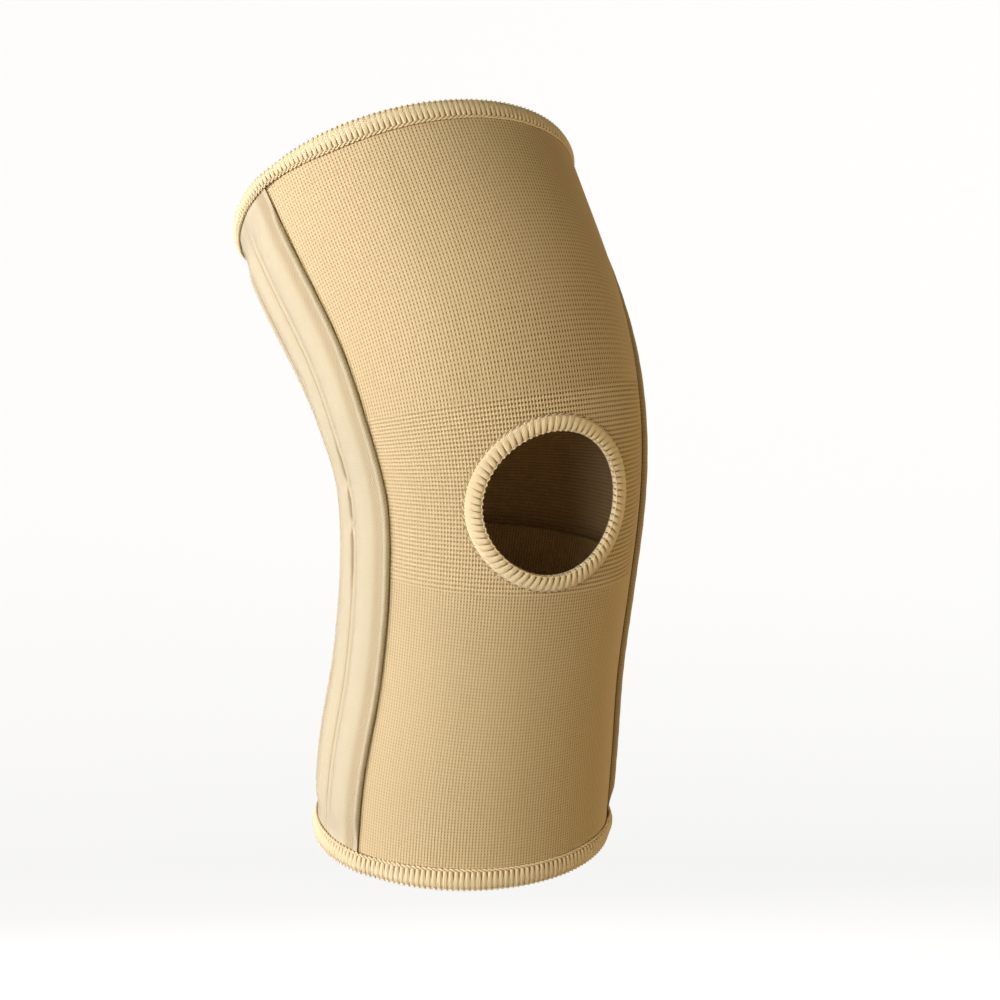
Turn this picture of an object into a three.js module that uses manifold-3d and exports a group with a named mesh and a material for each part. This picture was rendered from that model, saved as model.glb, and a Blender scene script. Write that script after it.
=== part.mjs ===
// An elastic knee brace: a knitted sleeve with a round kneecap hole, overlocked hems and rim,
// and a band with two raised stay channels down each side.
// Millimetres. The origin is the knee's centre, +Z is up the leg, -Y is the front and -X the outer side.
import * as THREE from "three";
import { mergeVertices } from "three/addons/utils/BufferGeometryUtils.js";
import Module from "manifold-3d";

const wasm = await Module();
wasm.setup();

// The leg's form
const KNEE_RADIUS = 57; // outside of the knit at the knee
const THIGH_LENGTH = 120.5; // along the axis, knee centre to top edge
const CALF_LENGTH = 137.5; // along the axis, knee centre to bottom edge
const THIGH_LEAN = 30; // degrees that the thigh leans back
const CALF_LEAN = -14; // degrees that the shank leans, so its foot end lies further back
const THIGH_SWAY = -16; // degrees that the thigh leans to the outer side

// Fabrics
const KNIT_WALL = 1.4;
const BAND_WALL = 1.2;
const CLEARANCE = 0.3; // between pieces that touch
const LIP_CLEARANCE = 0.35; // between the knit and a lip folded round it

// Kneecap hole
const HOLE_RADIUS = 27;
const HOLE_HEIGHT = 2; // of its centre, along the axis above the knee centre
const HOLE_ANGLE = 0.5; // of its centre, degrees round from the front
const RIM_WIDTH = 5.4;
const RIM_WALL = 0.9;

// Hems
const TOP_HEM_HEIGHT = 6.2;
const BOTTOM_HEM_HEIGHT = 7.2;
const HEM_WALL = 1.0;
const HEM_RAMP = 3.5; // run over which the hem rises onto a band

// Side bands
const BAND_WIDTH = 46;
const CHANNEL_RISE = 1.7; // of a stay channel's crown over the flat band
const FOLD_RISE = 1.0; // of the turned edge over the flat band
const SEAM_RISE = 0.5; // of the thin ridge between the channels
const CHANNEL_FADE = 11; // run over which the relief fades out at each hem

// Facets
const FRONT_STEPS = 16;
const BAND_STEPS = 6;
const BACK_STEPS = 14;
const THIGH_ROWS = 13;
const CALF_ROWS = 13;
const HOLE_STEPS = 40;

// Sections, from the bottom hem to the top one. along: share of the calf's or thigh's length.
// bend: share of the way from the shank's lean to the thigh's. side, front, back, shift: shares of
// the knee's radius. tilt: the section's own sideways tilt. seam: the bands' middle, from the front.
const SECTIONS = [
  { along: -1.0, bend: 0.0, side: 0.98, front: 0.98, back: 1.02, shift: 0.0, tilt: -5.5, seam: 92 },
  { along: -0.75, bend: 0.0, side: 0.97, front: 0.95, back: 1.04, shift: -0.01, tilt: -3.5, seam: 92 },
  { along: -0.5, bend: 0.02, side: 0.935, front: 0.93, back: 1.0, shift: 0.0, tilt: -2, seam: 91.5 },
  { along: -0.25, bend: 0.06, side: 0.945, front: 0.96, back: 0.96, shift: 0.01, tilt: -1.5, seam: 90.5 },
  { along: 0.0, bend: 0.18, side: 0.985, front: 1.02, back: 0.95, shift: 0.01, tilt: -3, seam: 89.5 },
  { along: 0.25, bend: 0.45, side: 1.045, front: 1.06, back: 0.98, shift: -0.015, tilt: -6.5, seam: 91 },
  { along: 0.5, bend: 0.76, side: 1.085, front: 1.09, back: 1.05, shift: -0.03, tilt: -9, seam: 93 },
  { along: 0.75, bend: 0.93, side: 1.12, front: 1.12, back: 1.11, shift: -0.035, tilt: -8, seam: 95 },
  { along: 1.0, bend: 1.0, side: 1.145, front: 1.14, back: 1.15, shift: 0.0, tilt: -3, seam: 97 },
];

// Across a band from its front edge. across: share of the half width. rise: relief over the flat
// band, as the kind of relief and a share of it.
const BAND_RELIEF = [
  { across: -1.0, kind: "fold", share: 0.45 },
  { across: -0.975, kind: "fold", share: 1.0 },
  { across: -0.925, kind: "fold", share: 0.9 },
  { across: -0.885, kind: "fold", share: 0.0 },
  { across: -0.77, kind: "channel", share: 0.12 },
  { across: -0.64, kind: "channel", share: 0.72 },
  { across: -0.43, kind: "channel", share: 1.0 },
  { across: -0.22, kind: "channel", share: 0.7 },
  { across: -0.09, kind: "channel", share: 0.0 },
  { across: 0.0, kind: "seam", share: 1.0 },
];

const RELIEF = { fold: FOLD_RISE, channel: CHANNEL_RISE, seam: SEAM_RISE };

const radians = THREE.MathUtils.degToRad;
const degrees = THREE.MathUtils.radToDeg;

// A column of the section table at a place along the axis, on a smooth curve through the rows.
function column(name, along) {
  const last = SECTIONS.length - 1;
  const inside = THREE.MathUtils.clamp(along, SECTIONS[0].along, SECTIONS[last].along);
  const place = (inside - SECTIONS[0].along) / (SECTIONS[1].along - SECTIONS[0].along);
  const row = Math.min(Math.floor(place), last - 1);
  const t = place - row;
  const at = (i) => SECTIONS[THREE.MathUtils.clamp(i, 0, last)][name];
  const rise = at(row + 1) - at(row);
  const before = row > 0 ? (at(row + 1) - at(row - 1)) / 2 : rise;
  const after = row < last - 1 ? (at(row + 2) - at(row)) / 2 : rise;
  const h10 = t * (1 - t) * (1 - t);
  const h11 = t * t * (t - 1);
  return at(row) + rise * t * t * (3 - 2 * t) + before * h10 + after * h11;
}

const share = (height) => height / (height > 0 ? THIGH_LENGTH : CALF_LENGTH);

// Unit vector that leans back and sideways by these angles in degrees.
function leaning(back, side) {
  const b = radians(back);
  const s = radians(side);
  return new THREE.Vector3(Math.sin(s) * Math.cos(b), Math.sin(b), Math.cos(s) * Math.cos(b));
}

function direction(height) {
  const bend = column("bend", share(height));
  return leaning(THREE.MathUtils.lerp(CALF_LEAN, THIGH_LEAN, bend), THIGH_SWAY * bend);
}

// The axis as points one step apart, added up from the knee's centre both ways.
const AXIS_STEP = 2;
function axisPoints(length, way) {
  const points = [new THREE.Vector3()];
  for (let done = 0; done < length; done += AXIS_STEP) {
    const middle = direction(way * (done + AXIS_STEP / 2));
    points.push(points.at(-1).clone().addScaledVector(middle, way * AXIS_STEP));
  }
  return points;
}
const AXIS_UP = axisPoints(THIGH_LENGTH, 1);
const AXIS_DOWN = axisPoints(CALF_LENGTH, -1);

function axisAt(height) {
  const points = height > 0 ? AXIS_UP : AXIS_DOWN;
  const place = Math.abs(height) / AXIS_STEP;
  const i = Math.min(Math.floor(place), points.length - 2);
  return points[i].clone().lerp(points[i + 1], place - i);
}

// The middle and the two directions of the section at a height.
function sectionAt(height) {
  const along = share(height);
  const bend = column("bend", along);
  const up = leaning(THREE.MathUtils.lerp(CALF_LEAN, THIGH_LEAN, bend), column("tilt", along));
  const inner = new THREE.Vector3(1, 0, 0).addScaledVector(up, -up.x).normalize();
  const back = new THREE.Vector3().crossVectors(up, inner);
  const centre = axisAt(height).addScaledVector(inner, column("shift", along) * KNEE_RADIUS);
  return { centre, inner, back };
}

// A point on the leg's form: angle in degrees round from the front to the inner side, lift in mm
// out from the knit's outer face.
function surface(height, angle, lift) {
  const along = share(height);
  const a = radians(angle);
  const { centre, inner, back } = sectionAt(height);
  const side = column("side", along) * KNEE_RADIUS + lift;
  const depth = column(Math.cos(a) > 0 ? "front" : "back", along) * KNEE_RADIUS + lift;
  return centre.addScaledVector(inner, side * Math.sin(a)).addScaledVector(back, -depth * Math.cos(a));
}

// Degrees from the front to the place this far across a band, towards the back.
function bandAngle(height, across) {
  const along = share(height);
  return column("seam", along) + degrees((across * BAND_WIDTH) / 2 / (column("side", along) * KNEE_RADIUS));
}

// Angles of the facet lines round the leg at a height: they follow the bands' edges.
function facetAngles(height) {
  const frontEdge = bandAngle(height, -1);
  const backEdge = bandAngle(height, 1);
  const half = [];
  const spread = (from, to, steps) => {
    for (let i = 0; i < steps; i++) half.push(from + ((to - from) * i) / steps);
  };
  spread(0, frontEdge, FRONT_STEPS / 2);
  spread(frontEdge, backEdge, BAND_STEPS);
  spread(backEdge, 180, BACK_STEPS / 2);
  const inner = half;
  const outer = half.slice(1).map((a) => 360 - a).reverse();
  return [...inner, 180, ...outer];
}

function meshGeometry(points, faces) {
  const geometry = new THREE.BufferGeometry().setFromPoints(points);
  geometry.setIndex(faces);
  return geometry;
}

// Closed ring: rings[i] is the closed profile at step i, and the last step meets the first.
function ringGeometry(rings) {
  const n = rings[0].length;
  const faces = [];
  rings.forEach((ring, i) => {
    const next = (i + 1) % rings.length;
    for (let j = 0; j < n; j++) {
      const k = (j + 1) % n;
      faces.push(i * n + j, next * n + j, i * n + k);
      faces.push(i * n + k, next * n + j, next * n + k);
    }
  });
  return meshGeometry(rings.flat(), faces);
}

// Solid bar: bars[i] is the closed profile at step i, and flat is the end's outline as 2D points.
function barGeometry(bars, flat) {
  const n = bars[0].length;
  const faces = [];
  for (let i = 0; i < bars.length - 1; i++) {
    for (let j = 0; j < n; j++) {
      const k = (j + 1) % n;
      faces.push(i * n + j, (i + 1) * n + j, i * n + k);
      faces.push(i * n + k, (i + 1) * n + j, (i + 1) * n + k);
    }
  }
  const last = (bars.length - 1) * n;
  THREE.ShapeUtils.triangulateShape(flat, []).forEach(([a, b, c]) => {
    faces.push(a, b, c);
    faces.push(last + a, last + c, last + b);
  });
  return meshGeometry(bars.flat(), faces);
}

function solidOf(geometry) {
  const bare = geometry.clone();
  bare.deleteAttribute("normal");
  bare.deleteAttribute("uv");
  const merged = mergeVertices(bare);
  return new wasm.Manifold(
    new wasm.Mesh({
      numProp: 3,
      vertProperties: merged.attributes.position.array,
      triVerts: new Uint32Array(merged.index.array),
    }),
  );
}

function geometryOf(solid) {
  const mesh = solid.getMesh();
  const geometry = new THREE.BufferGeometry();
  geometry.setAttribute("position", new THREE.BufferAttribute(mesh.vertProperties, 3));
  geometry.setIndex(new THREE.BufferAttribute(mesh.triVerts, 1));
  return geometry;
}

// Heights of the facet rows between the knit's two edges, with the knee's centre among them.
const EDGE_INSET = HEM_WALL + CLEARANCE;
const KNIT_TOP = THIGH_LENGTH - EDGE_INSET;
const KNIT_BOTTOM = EDGE_INSET - CALF_LENGTH;
function rowHeights(down, up) {
  const heights = [];
  for (let i = down; i > 0; i--) heights.push((KNIT_BOTTOM * i) / down);
  for (let i = 0; i <= up; i++) heights.push((KNIT_TOP * i) / up);
  return heights;
}

// Frame of the kneecap hole: its middle on the knit, its outward axis, and two directions across it.
function holeFrame() {
  const middle = surface(HOLE_HEIGHT, HOLE_ANGLE, 0);
  const probe = 12;
  const up = surface(HOLE_HEIGHT + probe, HOLE_ANGLE, 0).sub(surface(HOLE_HEIGHT - probe, HOLE_ANGLE, 0));
  const right = surface(HOLE_HEIGHT, HOLE_ANGLE + probe, 0).sub(surface(HOLE_HEIGHT, HOLE_ANGLE - probe, 0));
  right.normalize();
  const out = new THREE.Vector3().crossVectors(right, up).normalize();
  const across = new THREE.Vector3().crossVectors(up, out).normalize();
  return { middle, out, across, up: up.normalize() };
}
const HOLE = holeFrame();

// The point of the leg's form, at a lift, that lies this far from the hole's axis in this direction.
function holePoint(radius, turn, lift) {
  const goal = new THREE.Vector2(radius * Math.cos(turn), radius * Math.sin(turn));
  const flat = (height, angle) => {
    const p = surface(height, angle, lift).sub(HOLE.middle);
    return new THREE.Vector2(p.dot(HOLE.across), p.dot(HOLE.up));
  };
  let height = HOLE_HEIGHT + goal.y;
  let angle = HOLE_ANGLE + degrees(goal.x / KNEE_RADIUS);
  const tries = 8;
  const nudge = 0.01;
  for (let i = 0; i < tries; i++) {
    const here = flat(height, angle);
    const byHeight = flat(height + nudge, angle).sub(here).divideScalar(nudge);
    const byAngle = flat(height, angle + nudge).sub(here).divideScalar(nudge);
    const miss = goal.clone().sub(here);
    const size = byHeight.cross(byAngle);
    height += miss.cross(byAngle) / size;
    angle += byHeight.cross(miss) / size;
  }
  return surface(height, angle, lift);
}

const KNIT_HOLE_RADIUS = HOLE_RADIUS + RIM_WALL + CLEARANCE;

// The knitted tube, open at both ends and through the kneecap hole.
function knitSleeve() {
  const heights = rowHeights(CALF_ROWS, THIGH_ROWS);
  const columns = facetAngles(0).length;
  const rings = [];
  for (let i = 0; i < columns; i++) {
    const face = (lift) => heights.map((height) => surface(height, facetAngles(height)[i], lift));
    rings.push([...face(0), ...face(-KNIT_WALL).reverse()]);
  }
  const tube = solidOf(ringGeometry(rings));
  const reach = KNEE_RADIUS / 2;
  const cutter = new THREE.CylinderGeometry(KNIT_HOLE_RADIUS, KNIT_HOLE_RADIUS, 2 * reach, HOLE_STEPS);
  const basis = new THREE.Matrix4().makeBasis(HOLE.up, HOLE.out, HOLE.across);
  cutter.applyMatrix4(basis.setPosition(HOLE.middle));
  return geometryOf(tube.subtract(solidOf(cutter)));
}

// Closed outline of a lip folded round the knit's edge, as inset from the edge and lift. cover is
// how far it stands off the knit on the outside.
function lipOutline(width, wall, cover) {
  const outside = cover + wall;
  const inside = -KNIT_WALL - LIP_CLEARANCE - wall;
  const bevel = wall * 0.45;
  const middle = (outside + inside) / 2;
  return [
    { inset: width, lift: cover },
    { inset: width, lift: outside - bevel },
    { inset: width - bevel, lift: outside },
    { inset: wall, lift: outside },
    { inset: bevel / 2, lift: outside - bevel },
    { inset: 0, lift: middle },
    { inset: bevel / 2, lift: inside + bevel },
    { inset: wall, lift: inside },
    { inset: width - bevel, lift: inside },
    { inset: width, lift: inside + bevel },
    { inset: width, lift: inside + wall },
    { inset: wall, lift: inside + wall },
    { inset: wall, lift: cover },
  ];
}

// How far the hem is lifted by a band under it: 0 beside the band, 1 on it.
function bandCover(height, angle) {
  const side = Math.abs(angle > 180 ? angle - 360 : angle);
  const perMm = degrees(1 / (column("side", share(height)) * KNEE_RADIUS));
  const past = Math.abs(side - column("seam", share(height))) / perMm - BAND_WIDTH / 2;
  return 1 - THREE.MathUtils.smoothstep(past, CLEARANCE, HEM_RAMP);
}

// Facet lines of the hems: the knit's, with more beside each band for the ramp.
function hemAngles(height) {
  const perMm = degrees(1 / (column("side", share(height)) * KNEE_RADIUS));
  const ramp = [CLEARANCE, HEM_RAMP].map((run) => run * perMm);
  const edges = [bandAngle(height, -1), bandAngle(height, 1)];
  const extra = [...ramp.map((r) => edges[0] - r), ...ramp.map((r) => edges[1] + r)];
  const both = [...extra, ...extra.map((a) => 360 - a)];
  return [...facetAngles(height), ...both].sort((a, b) => a - b);
}

// A hem round one end of the tube. way is 1 at the top and -1 at the bottom.
function hem(edge, hemHeight, way) {
  const rings = hemAngles(edge).map((angle) => {
    const cover = LIP_CLEARANCE + bandCover(edge, angle) * (BAND_WALL + CLEARANCE);
    const outline = lipOutline(hemHeight, HEM_WALL, cover);
    return outline.map(({ inset, lift }) => surface(edge - way * inset, angle, lift));
  });
  if (way < 0) rings.reverse();
  return ringGeometry(rings);
}

// The overlocked rim of the kneecap hole.
function patellaRim() {
  const outline = lipOutline(RIM_WIDTH, RIM_WALL, LIP_CLEARANCE);
  const rings = [];
  for (let i = 0; i < HOLE_STEPS; i++) {
    const turn = (2 * Math.PI * i) / HOLE_STEPS;
    rings.push(outline.map(({ inset, lift }) => holePoint(HOLE_RADIUS + inset, turn, lift)));
  }
  return ringGeometry(rings);
}

// Relief of a band across its width, fading to flat under the hems.
function bandProfile(height) {
  const toHem = Math.min(KNIT_TOP - TOP_HEM_HEIGHT - height, height - KNIT_BOTTOM - BOTTOM_HEM_HEIGHT);
  const fade = THREE.MathUtils.smoothstep(toHem, -CLEARANCE, CHANNEL_FADE);
  const rows = BAND_RELIEF.map(({ across, kind, share: part }) => ({
    across,
    lift: CLEARANCE + BAND_WALL + RELIEF[kind] * part * fade,
  }));
  const mirrored = rows.slice(0, -1).reverse().map(({ across, lift }) => ({ across: -across, lift }));
  const under = [];
  const inset = 1 - BAND_WALL / BAND_WIDTH;
  for (let i = 0; i <= BAND_STEPS; i++) {
    under.push({ across: inset * (1 - (2 * i) / BAND_STEPS), lift: CLEARANCE });
  }
  return [...rows, ...mirrored, ...under];
}

// A side band over the knit. way is 1 on the inner side and -1 on the outer side.
function sideBand(way) {
  const heights = rowHeights(CALF_ROWS, THIGH_ROWS);
  const ends = [heights[0] + BOTTOM_HEM_HEIGHT, heights.at(-1) - TOP_HEM_HEIGHT];
  const rows = [...heights, ...ends].sort((a, b) => a - b);
  const bars = rows.map((height) =>
    bandProfile(height).map(({ across, lift }) => surface(height, way * bandAngle(height, across), lift)),
  );
  const half = (way * BAND_WIDTH) / 2;
  const flat = bandProfile(0).map(({ across, lift }) => new THREE.Vector2(across * half, lift));
  if (way > 0) {
    bars.forEach((bar) => bar.reverse());
    flat.reverse();
  }
  return barGeometry(bars, flat);
}

function fabric(colour, roughness) {
  return new THREE.MeshStandardMaterial({ color: colour, roughness, metalness: 0 });
}
const knitFabric = fabric(0xd9bf8c, 0.85);
const bandFabric = fabric(0xe3d0a5, 0.75);
const overlockThread = fabric(0xe0cb9a, 0.7);

const kneeBrace = new THREE.Group();
function add(name, geometry, material) {
  const mesh = new THREE.Mesh(geometry, material);
  mesh.name = name;
  kneeBrace.add(mesh);
}

add("knit_sleeve", knitSleeve(), knitFabric);
add("patella_rim", patellaRim(), overlockThread);
add("top_hem", hem(THIGH_LENGTH, TOP_HEM_HEIGHT, 1), overlockThread);
add("bottom_hem", hem(-CALF_LENGTH, BOTTOM_HEM_HEIGHT, -1), overlockThread);
add("lateral_band", sideBand(-1), bandFabric);
add("medial_band", sideBand(1), bandFabric);

export default kneeBrace;
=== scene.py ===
import math

import bpy
import numpy as np
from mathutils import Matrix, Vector


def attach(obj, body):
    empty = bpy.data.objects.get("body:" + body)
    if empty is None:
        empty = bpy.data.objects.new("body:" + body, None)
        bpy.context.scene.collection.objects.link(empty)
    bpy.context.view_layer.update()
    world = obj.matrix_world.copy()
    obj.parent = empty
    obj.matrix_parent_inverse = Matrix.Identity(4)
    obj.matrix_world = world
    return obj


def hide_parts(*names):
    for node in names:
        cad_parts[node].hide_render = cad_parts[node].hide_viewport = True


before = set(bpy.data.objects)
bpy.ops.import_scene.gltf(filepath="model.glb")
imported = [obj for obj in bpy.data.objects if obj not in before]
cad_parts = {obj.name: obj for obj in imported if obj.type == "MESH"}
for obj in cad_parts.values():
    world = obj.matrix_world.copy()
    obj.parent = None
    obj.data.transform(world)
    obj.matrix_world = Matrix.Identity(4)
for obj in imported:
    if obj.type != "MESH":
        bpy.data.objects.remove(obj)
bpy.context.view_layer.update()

# Lengths are in millimetres up to surface(), which gives metres.
MM = 0.001

# The leg's form
KNEE_RADIUS = 57.0
THIGH_LENGTH = 120.5
CALF_LENGTH = 137.5
THIGH_LEAN = 30.0
CALF_LEAN = -14.0
THIGH_SWAY = -16.0
AXIS_STEP = 2.0

# Walls and clearances
KNIT_WALL = 1.4
BAND_WALL = 1.2
CLEARANCE = 0.3
LIP_CLEARANCE = 0.35

# Kneecap hole
HOLE_RADIUS = 27.0
HOLE_HEIGHT = 2.0
HOLE_ANGLE = 0.5
RIM_WIDTH = 5.4
RIM_WALL = 0.9

# Hems
TOP_HEM_HEIGHT = 6.2
BOTTOM_HEM_HEIGHT = 7.2
HEM_WALL = 1.0
HEM_RAMP = 3.5

# Side bands. Places across a band are measured from its middle.
BAND_WIDTH = 46.0
BAND_HALF = BAND_WIDTH / 2
BAND_BASE = CLEARANCE + BAND_WALL - 0.2
BAND_PINCH = 0.35
CHANNEL_RISE = 1.7
CHANNEL_START = (3.4, 8.0)
CHANNEL_END = (10.0, 17.0)
CHANNEL_FADE = 11.0
FOLD_RISE = 1.4
FOLD_MIDDLE = BAND_HALF - 1.05
FOLD_HALF = 1.1
SLOT_MIDDLE = FOLD_MIDDLE - FOLD_HALF - 0.1
SLOT_HALF = 0.28

# The seam between a band's channels, which gapes where the knee bends it
SEAM_RISE = 0.5
SEAM_HALF = 0.5
SEAM_APART = 1.35
SEAM_GAPE = 0.75
SEAM_PINCHES = (5.5, -11.3)
PINCH_HALF = 2.6
GAPE_START = (-44, -26)
GAPE_END = (14, 30)

# Knit: wales run up the leg, courses go round it
WALES = 296
KNEE_ZONE = (-27.0, 31.0)
KNEE_COURSE = 1.74
THIGH_COURSE = 1.22
CALF_COURSE = 1.17
UNDER_BAND = (79.0, 111.0)
INNER_ROWS = 8
ZONE_EDGE_LIFT = 0.08
END_ROW = 0.04
KNIT_TOP = THIGH_LENGTH - HEM_WALL - CLEARANCE
KNIT_BOTTOM = HEM_WALL + CLEARANCE - CALF_LENGTH

# Overlock stitches
HEM_STITCH = 2.06
RIM_STITCH = 2.62
STRAND_RADIUS = 0.36
STRAND_ROOM = 0.42
CHAIN_LIFT = 0.55
CORNER_DEPTH = 0.55
JITTER = 0.015
LEAN = 0.06
PILLOW_JITTER = 0.008
THREAD_SIDES = 5

# Sections from the bottom hem to the top one, one row per quarter of the calf's or thigh's length.
COLUMNS = ("bend", "side", "front", "back", "shift", "tilt", "seam")
SECTIONS = np.array([
    (0.00, 0.980, 0.98, 1.02, 0.000, -5.5, 92.0),
    (0.00, 0.970, 0.95, 1.04, -0.010, -3.5, 92.0),
    (0.02, 0.935, 0.93, 1.00, 0.000, -2.0, 91.5),
    (0.06, 0.945, 0.96, 0.96, 0.010, -1.5, 90.5),
    (0.18, 0.985, 1.02, 0.95, 0.010, -3.0, 89.5),
    (0.45, 1.045, 1.06, 0.98, -0.015, -6.5, 91.0),
    (0.76, 1.085, 1.09, 1.05, -0.030, -9.0, 93.0),
    (0.93, 1.120, 1.12, 1.11, -0.035, -8.0, 95.0),
    (1.00, 1.145, 1.14, 1.15, 0.000, -3.0, 97.0),
])

chance = np.random.default_rng(11)


# The form of the leg

def column(name, along):
    """A column of the section table at a place along the axis, from -1 to 1."""
    values = SECTIONS[:, COLUMNS.index(name)]
    last = len(values) - 1
    place = (np.clip(along, -1, 1) + 1) * last / 2
    row = np.minimum(np.floor(place).astype(int), last - 1)
    t = place - row
    rise = values[row + 1] - values[row]
    before = np.where(row > 0, (values[row + 1] - values[np.maximum(row - 1, 0)]) / 2, rise)
    after = np.where(row < last - 1, (values[np.minimum(row + 2, last)] - values[row]) / 2, rise)
    return values[row] + rise * t * t * (3 - 2 * t) + before * t * (1 - t) ** 2 + after * t * t * (t - 1)


def share(height):
    return height / np.where(height > 0, THIGH_LENGTH, CALF_LENGTH)


def leaning(back, side):
    b, s = np.radians(back), np.radians(side)
    return np.stack([np.sin(s) * np.cos(b), np.sin(b), np.cos(s) * np.cos(b)], -1)


def unit(vectors):
    return vectors / np.linalg.norm(vectors, axis=-1, keepdims=True)


def axis_points(length, way):
    middles = way * (np.arange(0, length, AXIS_STEP) + AXIS_STEP / 2)
    bend = column("bend", share(middles))
    steps = way * AXIS_STEP * leaning(CALF_LEAN + (THIGH_LEAN - CALF_LEAN) * bend, THIGH_SWAY * bend)
    return np.vstack([np.zeros(3), np.cumsum(steps, axis=0)])


AXIS_UP = axis_points(THIGH_LENGTH, 1)
AXIS_DOWN = axis_points(CALF_LENGTH, -1)
AXIS = np.vstack([AXIS_DOWN[:0:-1], AXIS_UP])
AXIS_HEIGHTS = AXIS_STEP * (np.arange(len(AXIS)) - (len(AXIS_DOWN) - 1))


def surface(height, angle, lift):
    """Points on the leg's form: angle in degrees from the front to the inner side, lift out of the knit."""
    height, angle, lift = np.broadcast_arrays(height, angle, lift)
    along = share(height)
    lean = CALF_LEAN + (THIGH_LEAN - CALF_LEAN) * column("bend", along)
    up = leaning(lean, column("tilt", along))
    inner = unit(np.array([1.0, 0.0, 0.0]) - up * up[..., :1])
    back = np.cross(up, inner)
    centre = np.stack([np.interp(height, AXIS_HEIGHTS, AXIS[:, i]) for i in range(3)], -1)
    centre = centre + inner * (column("shift", along) * KNEE_RADIUS)[..., None]
    a = np.radians(angle)
    side = column("side", along) * KNEE_RADIUS + lift
    radius = np.where(np.cos(a) > 0, column("front", along), column("back", along)) * KNEE_RADIUS
    depth = radius + lift
    point = centre + inner * (side * np.sin(a))[..., None] - back * (depth * np.cos(a))[..., None]
    return MM * point


def per_mm(height):
    """Degrees round the leg for one millimetre at its sides."""
    return np.degrees(1 / (column("side", share(height)) * KNEE_RADIUS))


def smoothstep(low, high, value):
    t = np.clip((value - low) / (high - low), 0, 1)
    return t * t * (3 - 2 * t)


def bump(value, middle, half):
    """A smooth bump: 1 at its middle, about a third at half from it."""
    return np.exp(-(((value - middle) / half) ** 2))


def hole_frame():
    middle = surface(HOLE_HEIGHT, HOLE_ANGLE, 0.0)
    probe = 12.0
    up = surface(HOLE_HEIGHT + probe, HOLE_ANGLE, 0.0) - surface(HOLE_HEIGHT - probe, HOLE_ANGLE, 0.0)
    right = surface(HOLE_HEIGHT, HOLE_ANGLE + probe, 0.0) - surface(HOLE_HEIGHT, HOLE_ANGLE - probe, 0.0)
    out = unit(np.cross(right, up))
    return middle, out, unit(np.cross(up, out)), unit(up)


HOLE_MIDDLE, HOLE_OUT, HOLE_ACROSS, HOLE_UP = hole_frame()


def hole_place(radius, turn, lift):
    """Points of the form, at a lift, this far from the hole's axis in this direction."""
    radius, turn, lift = np.broadcast_arrays(radius, turn, lift)
    goal = np.stack([radius * np.cos(turn), radius * np.sin(turn)], -1)

    def flat(height, angle):
        point = (surface(height, angle, lift) - HOLE_MIDDLE) / MM
        return np.stack([point @ HOLE_ACROSS, point @ HOLE_UP], -1)

    height = HOLE_HEIGHT + goal[..., 1]
    angle = HOLE_ANGLE + np.degrees(goal[..., 0] / KNEE_RADIUS)
    nudge = 0.01
    rounds = 8
    for _ in range(rounds):
        here = flat(height, angle)
        by_height = (flat(height + nudge, angle) - here) / nudge
        by_angle = (flat(height, angle + nudge) - here) / nudge
        miss = goal - here
        size = by_height[..., 0] * by_angle[..., 1] - by_height[..., 1] * by_angle[..., 0]
        height = height + (miss[..., 0] * by_angle[..., 1] - miss[..., 1] * by_angle[..., 0]) / size
        angle = angle + (by_height[..., 0] * miss[..., 1] - by_height[..., 1] * miss[..., 0]) / size
    return surface(height, angle, lift)


# Meshes

def make_piece(name, points, groups, material):
    """A mesh object. groups: pairs of a face array and a dict of its UV arrays by layer name."""
    mesh = bpy.data.meshes.new(name)
    loops = np.concatenate([faces.ravel() for faces, _ in groups])
    sizes = np.concatenate([np.full(len(faces), faces.shape[1]) for faces, _ in groups])
    starts = np.concatenate([[0], np.cumsum(sizes)[:-1]])
    mesh.vertices.add(len(points))
    mesh.vertices.foreach_set("co", points.astype(np.float32).ravel())
    mesh.loops.add(len(loops))
    mesh.loops.foreach_set("vertex_index", loops.astype(np.int32))
    mesh.polygons.add(len(sizes))
    mesh.polygons.foreach_set("loop_start", starts.astype(np.int32))
    mesh.polygons.foreach_set("use_smooth", np.ones(len(sizes), bool))
    for layer in groups[0][1]:
        values = np.concatenate([uvs[layer].reshape(-1, 2) for _, uvs in groups])
        uv = mesh.uv_layers.new(name=layer)
        uv.data.foreach_set("uv", values.astype(np.float32).ravel())
    mesh.update(calc_edges=True)
    piece = bpy.data.objects.new(name, mesh)
    bpy.context.scene.collection.objects.link(piece)
    mesh.materials.append(material)
    return piece


def point_values(piece, name, values):
    """A number for each point of the mesh, which its material can read."""
    attribute = piece.data.attributes.new(name, "FLOAT", "POINT")
    attribute.data.foreach_set("value", values.astype(np.float32).ravel())


def grid_faces(rows, columns, wrap_rows, wrap_columns):
    """Quads of a grid of points, each as corners (r, c), (r, c+1), (r+1, c+1), (r+1, c)."""
    r = np.arange(rows if wrap_rows else rows - 1)
    c = np.arange(columns if wrap_columns else columns - 1)
    r, c = np.meshgrid(r, c, indexing="ij")
    r2, c2 = (r + 1) % rows, (c + 1) % columns
    faces = np.stack([r * columns + c, r * columns + c2, r2 * columns + c2, r2 * columns + c], -1)
    return faces.reshape(-1, 4)


def grid_uv(across, along, wrap_across=None, wrap_along=None):
    """UVs of grid_faces: across has one value per column, along one per row, and a wrap adds the last."""
    if wrap_across is not None:
        across = np.append(across, wrap_across)
    if wrap_along is not None:
        along = np.append(along, wrap_along)
    u, v = np.meshgrid(across, along)
    uv = np.stack([u, v], -1)
    corners = [uv[:-1, :-1], uv[:-1, 1:], uv[1:, 1:], uv[1:, :-1]]
    return np.stack(corners, 2).reshape(-1, 4, 2)


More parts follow.
